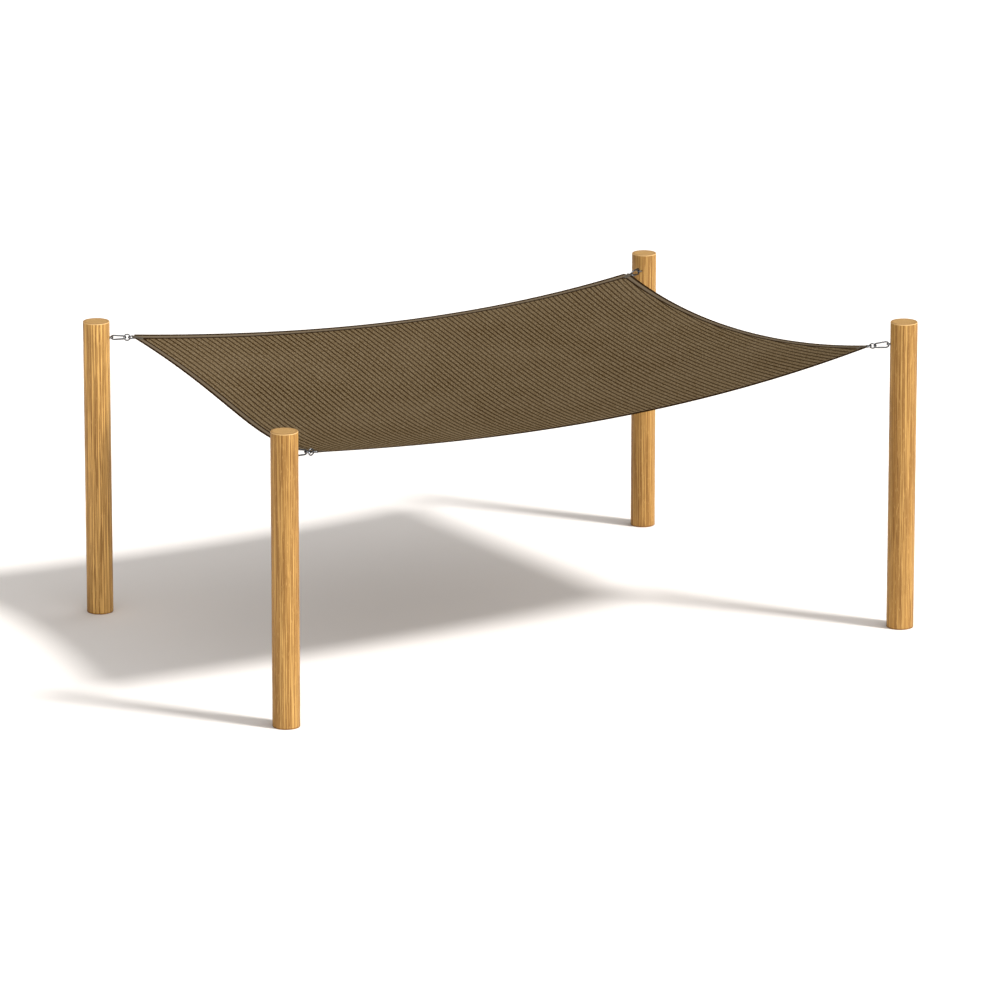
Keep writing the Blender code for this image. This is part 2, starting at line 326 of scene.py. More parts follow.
class Value:
    """One output of a node, usable in Python expressions that add Math nodes."""

    def __init__(self, graph: "NodeGraph", socket: bpy.types.NodeSocket) -> None:
        """Wrap a socket of a node graph."""
        self.graph = graph
        self.socket = socket

    def math(self, operation: str, *values: "Value | float") -> "Value":
        """Add a Math node on some values."""
        inputs = dict(enumerate(values))
        return self.graph.node("ShaderNodeMath", {"operation": operation}, inputs)

    def __add__(self, other: "Value | float") -> "Value":
        """Sum."""
        return self.math("ADD", self, other)

    def __sub__(self, other: "Value | float") -> "Value":
        """Difference."""
        return self.math("SUBTRACT", self, other)

    def __rsub__(self, other: float) -> "Value":
        """Difference from a number."""
        return self.math("SUBTRACT", other, self)

    def __mul__(self, other: "Value | float") -> "Value":
        """Product."""
        return self.math("MULTIPLY", self, other)

    def __pow__(self, other: "Value | float") -> "Value":
        """Power."""
        return self.math("POWER", self, other)

    def fraction(self) -> "Value":
        """What is left above the whole number below."""
        return self.math("FRACT", self)

    def size(self) -> "Value":
        """The number without its sign."""
        return self.math("ABSOLUTE", self)

    def sine(self) -> "Value":
        """Sine of an angle in radians."""
        return self.math("SINE", self)

    def at_least(self, other: "Value | float") -> "Value":
        """The larger of two values."""
        return self.math("MAXIMUM", self, other)

    def step(self, low: float, high: float) -> "Value":
        """Smooth step from 0 below low to 1 above high, or downwards where low is the larger."""
        rising = low < high
        limits = (low, high) if rising else (high, low)
        ends = (0.0, 1.0) if rising else (1.0, 0.0)
        inputs = {0: self, 1: limits[0], 2: limits[1], 3: ends[0], 4: ends[1]}
        settings = {"interpolation_type": "SMOOTHSTEP"}
        return self.graph.node("ShaderNodeMapRange", settings, inputs)


class NodeGraph:
    """The node tree of a material or a world."""

    def __init__(self, owner: bpy.types.Material | bpy.types.World, shader: str) -> None:
        """Start from the owner's plain shader."""
        self.owner = owner
        self.owner.use_nodes = True
        self.tree = self.owner.node_tree
        self.shader = self.tree.nodes[shader]

    @classmethod
    def of_material(cls, name: str) -> "NodeGraph":
        """Start a new material."""
        return cls(bpy.data.materials.new(name), "Principled BSDF")

    def feed(self, socket: bpy.types.NodeSocket, value: object) -> None:
        """Link a value to a socket, or set a number or colour on it."""
        if isinstance(value, Value):
            self.tree.links.new(value.socket, socket)
        elif socket.type == "RGBA" and len(value) == 3:
            socket.default_value = (*value, 1.0)
        else:
            socket.default_value = value

    def node(
        self,
        kind: str,
        settings: dict[str, object] | None = None,
        inputs: dict[int | str, object] | None = None,
        output: int | str = 0,
    ) -> Value:
        """Add any node.

        Args:
            kind: the node's type.
            settings: its own settings, set before its inputs.
            inputs: values or links of its input sockets, by number or name.
            output: the output to return.

        Returns:
            That output, as a value.
        """
        made = self.tree.nodes.new(kind)
        for name, setting in (settings or {}).items():
            setattr(made, name, setting)
        for name, value in (inputs or {}).items():
            self.feed(made.inputs[name], value)
        return Value(self, made.outputs[output])

    def place(self, centre: Sequence[float] = (0.0, 0.0, 0.0)) -> Value:
        """Coordinates of the piece, measured from a centre."""
        raw = self.node("ShaderNodeTexCoord", output="Object")
        shift = tuple(-x for x in centre)
        return self.node("ShaderNodeMapping", {}, {"Vector": raw, "Location": shift})

    def surface(self, name: str) -> tuple[Value, Value]:
        """The two coordinates of one of the piece's own UV maps."""
        across, along, _unused = self.split(self.node("ShaderNodeUVMap", {"uv_map": name}))
        return across, along

    def split(self, vector: Value) -> tuple[Value, Value, Value]:
        """The three numbers of a vector."""
        made = self.tree.nodes.new("ShaderNodeSeparateXYZ")
        self.feed(made.inputs[0], vector)
        return tuple(Value(self, socket) for socket in made.outputs)

    def join(self, *numbers: Value | float) -> Value:
        """A vector of three numbers."""
        return self.node("ShaderNodeCombineXYZ", {}, dict(enumerate(numbers)))

    def noise(self, vector: Value, scale: float, detail: float, rough: float = 0.5) -> Value:
        """Smooth random pattern around 0.5."""
        inputs = {"Vector": vector, "Scale": scale, "Detail": detail, "Roughness": rough}
        return self.node("ShaderNodeTexNoise", {}, inputs)

    def mix(self, share: Value | float, first: object, second: object) -> Value:
        """Blend two colours by a share from 0 to 1."""
        inputs = {0: share, 6: first, 7: second}
        return self.node("ShaderNodeMix", {"data_type": "RGBA"}, inputs, 2)

    def coats(self, base: object, *coats: tuple[Value | float, object]) -> Value:
        """Lay colours over a base one after another, each given with its share from 0 to 1."""
        for share, colour in coats:
            base = self.mix(share, base, colour)
        return base

    def relief(self, height: Value, depth: float, strength: float = 1.0) -> Value:
        """Normal of a surface with a raised pattern, whose height of 1 stands for a depth."""
        inputs = {"Height": height, "Distance": depth, "Strength": strength}
        return self.node("ShaderNodeBump", {}, inputs)

    def finish(self, **sockets: object) -> None:
        """Feed the shader's sockets, named with _ for a space."""
        for name, value in sockets.items():
            self.feed(self.shader.inputs[name.replace("_", " ")], value)


class Slot(Enum):
    """The record's material slots."""

    TIMBER = "timber"
    STEEL = "steel"
    WEBBING = "webbing"
    CLOTH = "shade_cloth"


@dataclass(frozen=True)
class Finish:
    """What a surface is made of. Each kind of finish paints its own node graph."""

    name: str
    slot: Slot

    def paint(self, graph: NodeGraph) -> None:
        """Fill the material's nodes."""
        raise NotImplementedError

    def material(self) -> bpy.types.Material:
        """The finish's material, made once."""
        found = bpy.data.materials.get(self.name)
        if found is None:
            graph = NodeGraph.of_material(self.name)
            self.paint(graph)
            found = graph.owner
        return found


@dataclass(frozen=True)
class OiledTimber(Finish):
    """Honey-coloured softwood pole: long fibres on its side, growth rings on its sawn top.

    Each line is a pair of distances between which one look passes into another: below the top
    where the sawn face and the eased rim begin, the rim painted pale, partly as wear and partly as a
    highlight; and above the foot where its dark line begins, painted shade where it meets the floor.
    rim does the same on the sawn face, as shares of the radius. A share of paler timber is painted
    over the side as light, on a post that stands in the sail's shadow.
    """

    centre: tuple[float, float, float] = (0.0, 0.0, 0.0)
    radius: float = 0.1
    height: float = 2.2
    seed: float = 0.0
    pale: tuple[float, float, float] = (0.600, 0.352, 0.108)
    honey: tuple[float, float, float] = (0.390, 0.198, 0.044)
    brown: tuple[float, float, float] = (0.180, 0.074, 0.012)
    # Pale tone of the eased rim: partly wear, partly a painted highlight.
    worn: tuple[float, float, float] = (0.640, 0.420, 0.185)
    grey: tuple[float, float, float] = (0.225, 0.135, 0.053)
    # Paler timber, painted over a post's side as light where it stands in the sail's shadow.
    painted_light_tone: tuple[float, float, float] = (0.820, 0.480, 0.150)
    ring_spacing: float = 0.0065
    # How much painted light makes the side paler; only the left post, in the sail's shadow, gets it.
    painted_light_share: float = 0.0
    saw_line: tuple[float, float] = (0.0022, 0.0012)
    eased_line: tuple[float, float] = (0.0070, 0.0058)
    # Where the painted shade at the foot begins, where the post meets the floor.
    foot_shade_line: tuple[float, float] = (0.014, 0.006)
    rim: tuple[float, float] = (0.74, 0.90)

    def paint(self, graph: NodeGraph) -> None:
        """Fill the material's nodes."""
        x, y, z = graph.split(graph.place(self.centre))
        radius = (x * x + y * y) ** 0.5
        drawn = graph.join(x, y, z * 0.012 + self.seed)
        slow = graph.join(x, y, z * 0.10 + self.seed)
        broad = graph.noise(drawn, 16.0, 2.0)
        streak = graph.noise(drawn, 84.0, 2.0, 0.6)
        pinstripe = graph.noise(graph.join(x, y, z * 0.006 + self.seed), 165.0, 1.0)
        fibre = graph.noise(drawn, 240.0, 2.0, 0.6)
        line = graph.noise(drawn, 175.0, 2.0).step(0.55, 0.62)
        fleck = graph.noise(slow, 190.0, 2.0).step(0.60, 0.70)
        wander = graph.noise(slow, 9.0, 2.0) * 0.05
        ring = ((radius + wander) * (1 / self.ring_spacing)).fraction()
        late_wood = ring.step(0.55, 0.92) * ring.step(1.0, 0.95)

        tone = (broad * 0.45 + streak * 0.55).step(0.30, 0.70)
        side = graph.coats(
            graph.mix(tone, self.honey, self.pale),
            # Painted light: the side is painted paler where the post stands in the sail's shadow.
            (self.painted_light_share, self.painted_light_tone),
            (late_wood * 0.15, self.brown),
            (pinstripe.step(0.47, 0.54) * 0.66, self.brown),
            (line * 0.70, self.brown),
            (fleck * 0.55, self.pale),
            (fibre.step(0.50, 0.66) * 0.35, self.brown),
        )

        pores = graph.noise(graph.join(x, y, z), 700.0, 2.0)
        rim = radius.step(*(share * self.radius for share in self.rim))
        sawn = graph.coats(
            graph.mix(late_wood * 0.75, self.pale, self.honey),
            (pores.step(0.40, 0.65) * 0.6, self.honey),
            (0.60, self.grey),
            (rim * 0.40, self.brown),
        )
        top = z.step(*(self.height - below for below in self.saw_line))
        eased = z.step(*(self.height - below for below in self.eased_line)) * (1 - top)
        colour = graph.coats(
            graph.mix(top, side, sawn),
            # Pale eased rim: partly wear, partly a painted highlight of the rim.
            (eased * 0.9, self.worn),
            # Painted shade: a dark line where the post meets the floor.
            (z.step(*self.foot_shade_line) * 0.7, self.brown),
        )
        height = fibre * 0.5 + streak * 0.6 - line * 0.6
        graph.finish(
            Base_Color=colour,
            Roughness=streak * 0.2 + 0.45,
            Specular_IOR_Level=0.25,
            Normal=graph.relief(height, 0.0012, 0.8),
        )


@dataclass(frozen=True)
class BrightSteel(Finish):
    """Steel wire, polished but clouded here and there, with fine draw marks."""

    colour: tuple[float, float, float] = (0.130, 0.133, 0.139)
    dull: tuple[float, float, float] = (0.050, 0.051, 0.053)

    def paint(self, graph: NodeGraph) -> None:
        """Fill the material's nodes."""
        place = graph.place()
        cloud = graph.noise(place, 60.0, 3.0)
        marks = graph.noise(place, 900.0, 2.0)
        colour = graph.mix(cloud.step(0.50, 0.72) * 0.6, self.colour, self.dull)
        graph.finish(
            Base_Color=colour,
            Metallic=1.0,
            Roughness=cloud * 0.15 + 0.14,
            Normal=graph.relief(marks, 0.0001, 0.5),
        )


@dataclass(frozen=True)
class Webbing(Finish):
    """Flat woven strap: rows of slanted yarn along it, and plain bound sides."""

    colour: tuple[float, float, float] = (0.085, 0.068, 0.046)
    dark: tuple[float, float, float] = (0.030, 0.024, 0.017)
    width: float = 0.034
    yarn: float = 0.0022

    def paint(self, graph: NodeGraph) -> None:
        """Fill the material's nodes."""
        across, along = graph.surface("Flat")
        to_side = (across.size() * -1.0 + self.width / 2) * (1 / self.yarn)
        slanted = along + (across.size() * 0.8)
        row = ((slanted * (math.tau / self.yarn)).sine() * 0.5 + 0.5)
        column = ((across * (math.tau / self.yarn)).sine() * 0.5 + 0.5)
        weave = row * 0.7 + column * 0.3
        bound = to_side.step(1.4, 0.9)
        shade = weave * (1 - bound) + bound * 0.8
        colour = graph.mix(shade, self.dark, self.colour)
        graph.finish(
            Base_Color=colour,
            Roughness=shade * 0.1 + 0.75,
            Specular_IOR_Level=0.2,
            Normal=graph.relief(shade, 0.0005),
        )


@dataclass(frozen=True)
class Thread(Finish):
    """Twisted sewing thread."""

    colour: tuple[float, float, float] = (0.022, 0.016, 0.011)
    fleck: tuple[float, float, float] = (0.050, 0.040, 0.030)

    def paint(self, graph: NodeGraph) -> None:
        """Fill the material's nodes."""
        twist = graph.noise(graph.place(), 1500.0, 1.0)
        colour = graph.mix(twist * 0.5, self.colour, self.fleck)
        graph.finish(Base_Color=colour, Roughness=twist * 0.2 + 0.5)


@dataclass(frozen=True)
class KnittedCloth(Finish):
    """Knitted shade cloth: broad ribs with a dark line between them, and turned-in hems.

    It reads two UV maps of the cloth. Knit holds the rib's number and the distance along it. Hem
    holds two distances: from the nearest edge whose hem lies on top, and from the nearest edge.
    course is the spacing of the pale dashes along a rib, and stitch that of the single loops. Each
    pair of distances says where a dark mark begins and where it is full: from the seam; from the
    hem's inner rim, a line of painted shade such as the raised hem would cast; from the nearest edge,
    painted shade along the front edge, whose hem lies underneath in its own shade; and from the
    nearest edge again, a darker band along every edge.
    """

    band: tuple[float, float, float] = (0.124, 0.085, 0.041)
    pale: tuple[float, float, float] = (0.235, 0.180, 0.112)
    dark: tuple[float, float, float] = (0.014, 0.006, 0.001)
    umber: tuple[float, float, float] = (0.048, 0.024, 0.004)
    hem: tuple[float, float, float] = (0.112, 0.081, 0.049)
    hem_pale: tuple[float, float, float] = (0.166, 0.129, 0.086)
    hem_width: float = 0.060
    seam: float = 0.054
    course: float = 0.017
    stitch: float = 0.0042
    stitches_across_rib: float = 7.0
    sewn_mark: tuple[float, float] = (0.0055, 0.0025)
    # Where the painted shade just past the hem's inner rim lies.
    hem_edge_shade_offset: float = 0.0060
    hem_edge_shade_mark: tuple[float, float] = (0.0100, 0.0050)
    # Painted shade along the front edge, whose hem lies underneath in its own shade.
    front_shade_mark: tuple[float, float] = (0.058, 0.034)
    front_shade_blend: float = 0.012
    edge_dark_mark: tuple[float, float] = (0.030, 0.017)

    def paint(self, graph: NodeGraph) -> None:
        """Fill the material's nodes."""
        rib, along = graph.surface("Knit")
        faced, edge = graph.surface("Hem")
        place = graph.place()
        wobble = graph.noise(place, 22.0, 3.0) - 0.5
        phase = (rib + wobble * 0.16).fraction()
        from_line = (phase - 0.5).size() * -1.0 + 0.5
        line = from_line.step(0.175, 0.065)
        shoulder = from_line.step(0.30, 0.14)

        slant = along * (1 / self.course) + rib * 1.6 + wobble * 1.4
        dash = ((slant * math.tau).sine() * 0.5 + 0.5).step(0.45, 0.95)
        patchy = graph.noise(place, 55.0, 2.0).step(0.40, 0.68)
        loops = (along * (math.tau / self.stitch)).sine()
        loops = loops * (rib * (math.tau * self.stitches_across_rib)).sine() * 0.5 + 0.5
        mottle = graph.noise(place, 1.6, 2.0)
        worn = graph.noise(place, 40.0, 2.0).step(0.35, 0.70)
        speck = graph.noise(graph.join(rib * 5.0, along * 75.0, 0.0), 1.0, 2.0)
        grain = graph.noise(place, 130.0, 2.0)

        body = graph.coats(
            self.band,
            (shoulder * 0.60, self.umber),
            (dash * patchy * (1 - shoulder) * 0.9, self.pale),
            (speck.step(0.58, 0.26) * 0.90, self.umber),
            (speck.step(0.44, 0.74) * 0.75, self.pale),
            (grain.step(0.58, 0.28) * 0.70, self.umber),
            (grain.step(0.44, 0.74) * 0.60, self.pale),
            (loops * 0.20, self.dark),
            (line * (worn * 0.10 + 0.90), self.dark),
            ((mottle - 0.35) * 0.25, self.pale),
        )

        sewn = (faced - self.seam).size().step(*self.sewn_mark)
        turned = graph.coats(
            graph.mix(grain, self.hem, self.hem_pale),
            (loops * 0.20, self.dark),
            (sewn * 0.35, self.dark),
        )
        on_hem = faced.step(self.hem_width, self.hem_width - 0.0010)
        hem_edge_shade = (faced - self.hem_width - self.hem_edge_shade_offset).size().step(*self.hem_edge_shade_mark)
        off_hem = faced.step(self.hem_width, self.hem_width + self.front_shade_blend)
        colour = graph.coats(
            graph.mix(on_hem, body, turned),
            # Painted shade: a dark line just past the hem's inner rim, as the raised hem would shade
            # the cloth.
            (hem_edge_shade * 0.97, self.dark),
            # Painted shade along the front edge, whose hem lies underneath in its own shade.
            (edge.step(*self.front_shade_mark) * off_hem * 0.60, self.dark),
            # Darker along every edge: full within 17 mm of it, gone by 30 mm.
            (edge.step(*self.edge_dark_mark) * 0.95, self.dark),
        )

        height = loops * 0.25 + dash * 0.35 * (1 - line) + (1 - line) * (1 - on_hem) * 0.8
        graph.finish(
            Base_Color=colour,
            Roughness=dash * -0.08 + 0.86,
            Specular_IOR_Level=0.0,
            Normal=graph.relief(height, 0.0012),
        )


# ---------------------------------------------------------------- modelling


class Pick(Enum):
    """What a selection in edit mode is made of."""

    POINTS = "VERT"
    EDGES = "EDGE"
    FACES = "FACE"


class Bench:
    """A place to model one new piece with operators, in the scene's own coordinates."""

    def __init__(self, name: str, add: Callable[..., set[str]], **sizes: object) -> None:
        """Add a primitive alone on the bench and open it for shaping.

        Args:
            name: the piece's name.
            add: the operator that adds the primitive.
            sizes: the operator's own settings.
        """
        bpy.ops.object.select_all(action="DESELECT")
        add(**sizes)
        self.piece = bpy.context.active_object
        self.piece.name = self.piece.data.name = name
        bpy.ops.object.transform_apply(location=True, rotation=True, scale=True)
        bpy.ops.object.mode_set(mode="EDIT")
        bpy.ops.mesh.select_mode(type=Pick.EDGES.value)

    def select(self, pick: Pick, test: Callable[[Vector], bool]) -> None:
        """Select by place.

        Args:
            pick: what to select.
            test: tells whether a point belongs. An edge or face needs it of all its points.
        """
        bpy.ops.mesh.select_mode(type=pick.value)
        bpy.ops.mesh.select_all(action="DESELECT")
        shape = bmesh.from_edit_mesh(self.piece.data)
        parts = {Pick.POINTS: shape.verts, Pick.EDGES: shape.edges, Pick.FACES: shape.faces}
        for part in parts[pick]:
            points = [part] if pick is Pick.POINTS else part.verts
            if all(test(point.co) for point in points):
                part.select_set(True)
        bmesh.update_edit_mesh(self.piece.data)

    def close(self, merge: float = MERGE) -> bpy.types.Object:
        """Merge doubled points, turn the faces outwards and leave edit mode."""
        bpy.ops.mesh.select_all(action="SELECT")
        bpy.ops.mesh.remove_doubles(threshold=merge)
        bpy.ops.mesh.normals_make_consistent(inside=False)
        bpy.ops.object.mode_set(mode="OBJECT")
        return self.piece


def select_alone(piece: bpy.types.Object) -> None:
    """Select one piece and make it the active one."""
    bpy.ops.object.select_all(action="DESELECT")
    piece.select_set(True)
    bpy.context.view_layer.objects.active = piece


def smooth(piece: bpy.types.Object, degrees: float) -> None:
    """Shade a piece smooth but for edges sharper than an angle."""
    select_alone(piece)
    bpy.ops.object.shade_smooth_by_angle(angle=math.radians(degrees))


def apply_modifiers(piece: bpy.types.Object) -> None:
    """Apply all of a piece's modifiers, in order."""
    select_alone(piece)
    for modifier in list(piece.modifiers):
        bpy.ops.object.modifier_apply(modifier=modifier.name)


def fit(piece: bpy.types.Object, finish: Finish, *nodes: str) -> bpy.types.Object:
    """Give a finished piece its finish and its place among the object's parts.

    Args:
        piece: the finished piece.
        finish: what it is made of.
        nodes: the plain solids that it stands for.

    Returns:
        The piece.
    """
    piece.data.materials.clear()
    piece.data.materials.append(finish.material())
    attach(piece, BODY)
    if nodes:
        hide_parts(*nodes)
    piece.data.calc_loop_triangles()
    LOG.info("%s: %d triangles", piece.name, len(piece.data.loop_triangles))
    return piece


# ---------------------------------------------------------------- posts


@dataclass(frozen=True)
class Post:
    """Round timber post: turned smooth, its top and foot eased.

    The two insets of the sawn top are shares of the radius. waver is how far a length of the post
    lies off its middle line, and its paces say how it turns from length to length.
    """

    corner: Corner
    sides: int = 128
    lengths: int = 24
    top_chamfer: float = 0.006
    foot_chamfer: float = 0.004
    rim_inset: float = 0.12
    hollow_inset: float = 0.40
    hollow_depth: float = 0.0004
    waver: float = 0.0006
    waver_paces: tuple[float, float] = (1.9, 2.3)

    def build(self) -> bpy.types.Object:
        """Model the post and dress it.

        Returns:
            The finished post.
        """
        corner = self.corner
        radius, height = corner.diameter / 2, corner.height
        bench = Bench(
            f"round_post_{corner.name}",
            bpy.ops.mesh.primitive_cylinder_add,
            vertices=self.sides,
            radius=radius,
            depth=height,
            location=(corner.x, corner.y, height / 2),
        )
        self._ease(bench, height, self.top_chamfer, 3)
        self._ease(bench, 0.0, self.foot_chamfer, 2)
        self._close_end(bench, height, radius)
        self._cut_lengths(bench, height)
        post = bench.close()
        smooth(post, 35)
        finish = OiledTimber(
            f"Oiled timber {corner.name}",
            Slot.TIMBER,
            centre=(corner.x, corner.y, 0.0),
            radius=radius,
            height=height,
            seed=0.61 * (1 + CORNERS.index(corner)),
            # Painted light: the left post stands in the sail's cast shadow, so its side is painted
            # paler.
            painted_light_share=0.50 if corner is LEFT else 0.0,
        )
        return fit(post, finish, f"post_{corner.name}")

    def _ease(self, bench: Bench, height: float, width: float, steps: int) -> None:
        """Round the rim at one height."""
        bench.select(Pick.EDGES, lambda point: abs(point.z - height) < LEVEL)
        bpy.ops.mesh.bevel(offset=width, segments=steps, profile=0.5, affect="EDGES")

    def _close_end(self, bench: Bench, height: float, radius: float) -> None:
        """Inset the sawn top, so that it lies a little hollow like a cross-cut."""
        bench.select(Pick.FACES, lambda point: abs(point.z - height) < LEVEL)
        bpy.ops.mesh.inset(thickness=radius * self.rim_inset, depth=0.0)
        bpy.ops.mesh.inset(thickness=radius * self.hollow_inset, depth=-self.hollow_depth)

    def _cut_lengths(self, bench: Bench, height: float) -> None:
        """Cut the side into lengths and let each waver a little, as a peeled pole does."""
        x, y = self.corner.x, self.corner.y
        for i in range(1, self.lengths):
            level = height * i / self.lengths
            bpy.ops.mesh.select_all(action="SELECT")
            bpy.ops.mesh.bisect(plane_co=(x, y, level), plane_no=(0.0, 0.0, 1.0))
            across = self.waver * math.sin(self.waver_paces[0] * i + x)
            back = self.waver * math.cos(self.waver_paces[1] * i + y)
            bpy.ops.transform.translate(value=(across, back, 0.0))


# ---------------------------------------------------------------- bent wire


@dataclass(frozen=True)
class Run:
    """Straight stretch of a wire."""

    length: float


@dataclass(frozen=True)
class Bend:
    """Left-hand bend of a wire."""

    radius: float
    degrees: float


def with_weld(length: float, reach: float) -> tuple[Run, ...]:
    """Straight stretch with a weld halfway, whose bead ends within reach of it."""
    plain = Run(length / 2 - reach)
    return (plain, Run(reach), Run(reach), plain)


@dataclass(frozen=True)
class BentWire:
    """A round wire bent in a plane from a start point, closed by a weld or cut with two ends.

    The last four values are shares of the wire's thickness or, for point_share, of its ring: the
    radius round the middle line in which a cut end is found, how far a driven point narrows, and
    how far a weld's bead reaches and rises.
    """

    name: str
    wire: float
    start: tuple[float, float]
    heading: float
    steps: tuple[Run | Bend, ...]
    weld: tuple[float, float] | None = None
    sides: int = 16
    step_degrees: float = 8.0
    end_share: float = 0.51
    point_share: float = 0.25
    bead_reach: float = 0.75
    bead_rise: float = 0.05

    def build(self, place: Matrix, finish: Finish, *nodes: str) -> bpy.types.Object:
        """Bend the wire, and put it in place.

        Args:
            place: the frame in whose XY plane it is bent.
            finish: what it is made of.
            nodes: the plain solids that it stands for.

        Returns:
            The finished piece.
        """
        point = Vector((*self.start, 0.0))
        heading = self.heading
        bench = Bench(
            self.name,
            bpy.ops.mesh.primitive_circle_add,
            vertices=self.sides,
            radius=self.wire / 2,
            location=point,
            rotation=(0.0, math.pi / 2, math.radians(heading)),
        )
        bpy.ops.mesh.select_all(action="SELECT")
        if self.weld is None:
            self._point_end(point, -plan_direction(heading))
            self._select_end(bench, point)
        for step in self.steps:
            if isinstance(step, Run):
                way = plan_direction(heading) * step.length
                bpy.ops.mesh.extrude_region_move(TRANSFORM_OT_translate={"value": way})
                point = point + way
            else:
                centre = point + plan_direction(heading + 90) * step.radius
                bpy.ops.mesh.spin(
                    steps=max(2, round(step.degrees / self.step_degrees)),
                    angle=-math.radians(step.degrees),
                    center=centre,
                    axis=(0.0, 0.0, 1.0),
                )
                heading += step.degrees
                point = centre - plan_direction(heading + 90) * step.radius
        if self.weld is None:
            self._point_end(point, plan_direction(heading))
        else:
            bpy.ops.mesh.select_all(action="SELECT")
            bpy.ops.mesh.remove_doubles(threshold=MERGE)
            bpy.ops.mesh.normals_make_consistent(inside=False)
            self._swell_weld(bench)
        made = bench.close()
        made.data.transform(place)
        smooth(made, 50)
        return fit(made, finish, *nodes)

    def _select_end(self, bench: Bench, point: Vector) -> None:
        """Select the ring of edges round one point of the wire's middle line."""
        bench.select(Pick.EDGES, lambda at: (at - point).length < self.wire * self.end_share)

    def _point_end(self, point: Vector, way: Vector) -> None:
        """Draw the selected ring out to a short driven point, and close it."""
        tip = point + way * self.wire
        bpy.ops.mesh.extrude_region_move(TRANSFORM_OT_translate={"value": way * self.wire})
        bpy.ops.transform.resize(value=(self.point_share,) * 3, center_override=tip)
        bpy.ops.mesh.edge_face_add()

    def _swell_weld(self, bench: Bench) -> None:
        """Leave the low bead that a butt weld makes."""
        centre = Vector((*self.weld, 0.0))
        reach = self.wire * self.bead_reach
        bench.select(Pick.POINTS, lambda at: (at - centre).length < reach)
        bpy.ops.transform.shrink_fatten(value=self.wire * self.bead_rise)


@dataclass(frozen=True)
class Chain:
    """All the bent wire between one corner of the sail and its post."""

    corner: Corner
    layout: Layout
    finish: Finish

    @property
    def sizes(self) -> Hardware:
        """The sizes of the wire pieces."""
        return self.layout.hardware

    def build(self) -> list[bpy.types.Object]:
        """Bend every piece.

        Returns:
            The pieces, from the post to the sail.
        """
        return [self._staple(), self._pear_link(), *self._link_rings(), self._d_ring()]

    def _staple(self) -> bpy.types.Object:
        """Driven staple, its crown round the pear link's wide end."""
        sizes = self.sizes
        crown = sizes.post_to_pear + sizes.pear_wire + sizes.staple_gap + sizes.staple_wire / 2
        leg = sizes.staple_depth - sizes.staple_wire
        straight = Run(leg + crown - sizes.staple_radius)
        wire = BentWire(
            name=f"wire_staple_{self.corner.name}",
            wire=sizes.staple_wire,
            start=(-leg, -sizes.staple_radius),
            heading=0.0,
            steps=(straight, Bend(sizes.staple_radius, 180), straight),
        )
        place = sizes.staple_frame(self.corner)
        return wire.build(place, self.finish, f"staple_{self.corner.name}")

    def _pear_link(self) -> bpy.types.Object:
        """Pear-shaped welded link, its wide end at the post."""
        sizes = self.sizes
        narrow, wide = sizes.pear_narrow_radius, sizes.pear_wide_radius
        flank = math.degrees(math.acos((narrow - wide) / sizes.pear_centres))
        side = math.sqrt(sizes.pear_centres**2 - (wide - narrow) ** 2)
        start = plan_direction(-flank) * narrow
        middle = start + plan_direction(90 - flank) * side / 2
        wire = BentWire(
            name=f"wire_pear_link_{self.corner.name}",
            wire=sizes.pear_wire,
            start=(start.x, start.y),
            heading=90 - flank,
            steps=(
                *with_weld(side, 0.003),
                Bend(wide, 2 * flank),
                Run(side),
                Bend(narrow, 360 - 2 * flank),
            ),
            weld=(middle.x, middle.y),
        )
        distance = sizes.stations(self.corner)[1]
        place = self.layout.turned_frame(self.corner, distance, self.corner.turns[-1])
        return wire.build(place, self.finish, f"pear_link_{self.corner.name}")

    def _link_rings(self) -> list[bpy.types.Object]:
        """Round welded rings between the D-ring and the pear link."""
        made = []
        radius = self.sizes.link_radius
        for i, distance in enumerate(self.sizes.stations(self.corner)[0]):
            wire = BentWire(
                name=f"wire_ring_{self.corner.name}_{i + 1}",
                wire=self.sizes.link_wire,
                start=(radius, 0.0),
                heading=90.0,
                steps=(Bend(radius, 360),),
                weld=(0.0, -radius),
            )
            place = self.layout.turned_frame(self.corner, distance, self.corner.turns[i])
            node = f"link_ring_{self.corner.name}_{i + 1}"
            made.append(wire.build(place, self.finish, node))
        return made

    def _d_ring(self) -> bpy.types.Object:
        """D-ring whose straight bar lies in the strap, welded on the bar."""
        sizes = self.sizes
        bend, radius = sizes.d_bend_radius, sizes.d_radius
        half_bar = radius - bend
        out = sizes.d_straight - bend
        wire = BentWire(
            name=f"wire_d_ring_{self.corner.name}",
            wire=sizes.d_wire,
            start=(0.0, half_bar),
            heading=270.0,
            steps=(
                *with_weld(2 * half_bar, 0.002),
                Bend(bend, 90),
                Run(out),
                Bend(radius, 180),
                Run(out),
                Bend(bend, 90),
            ),
            weld=(0.0, 0.0),
        )
        place = self.layout.chain_frame(self.corner)
        return wire.build(place, self.finish, f"d_ring_{self.corner.name}")


# ---------------------------------------------------------------- sewing


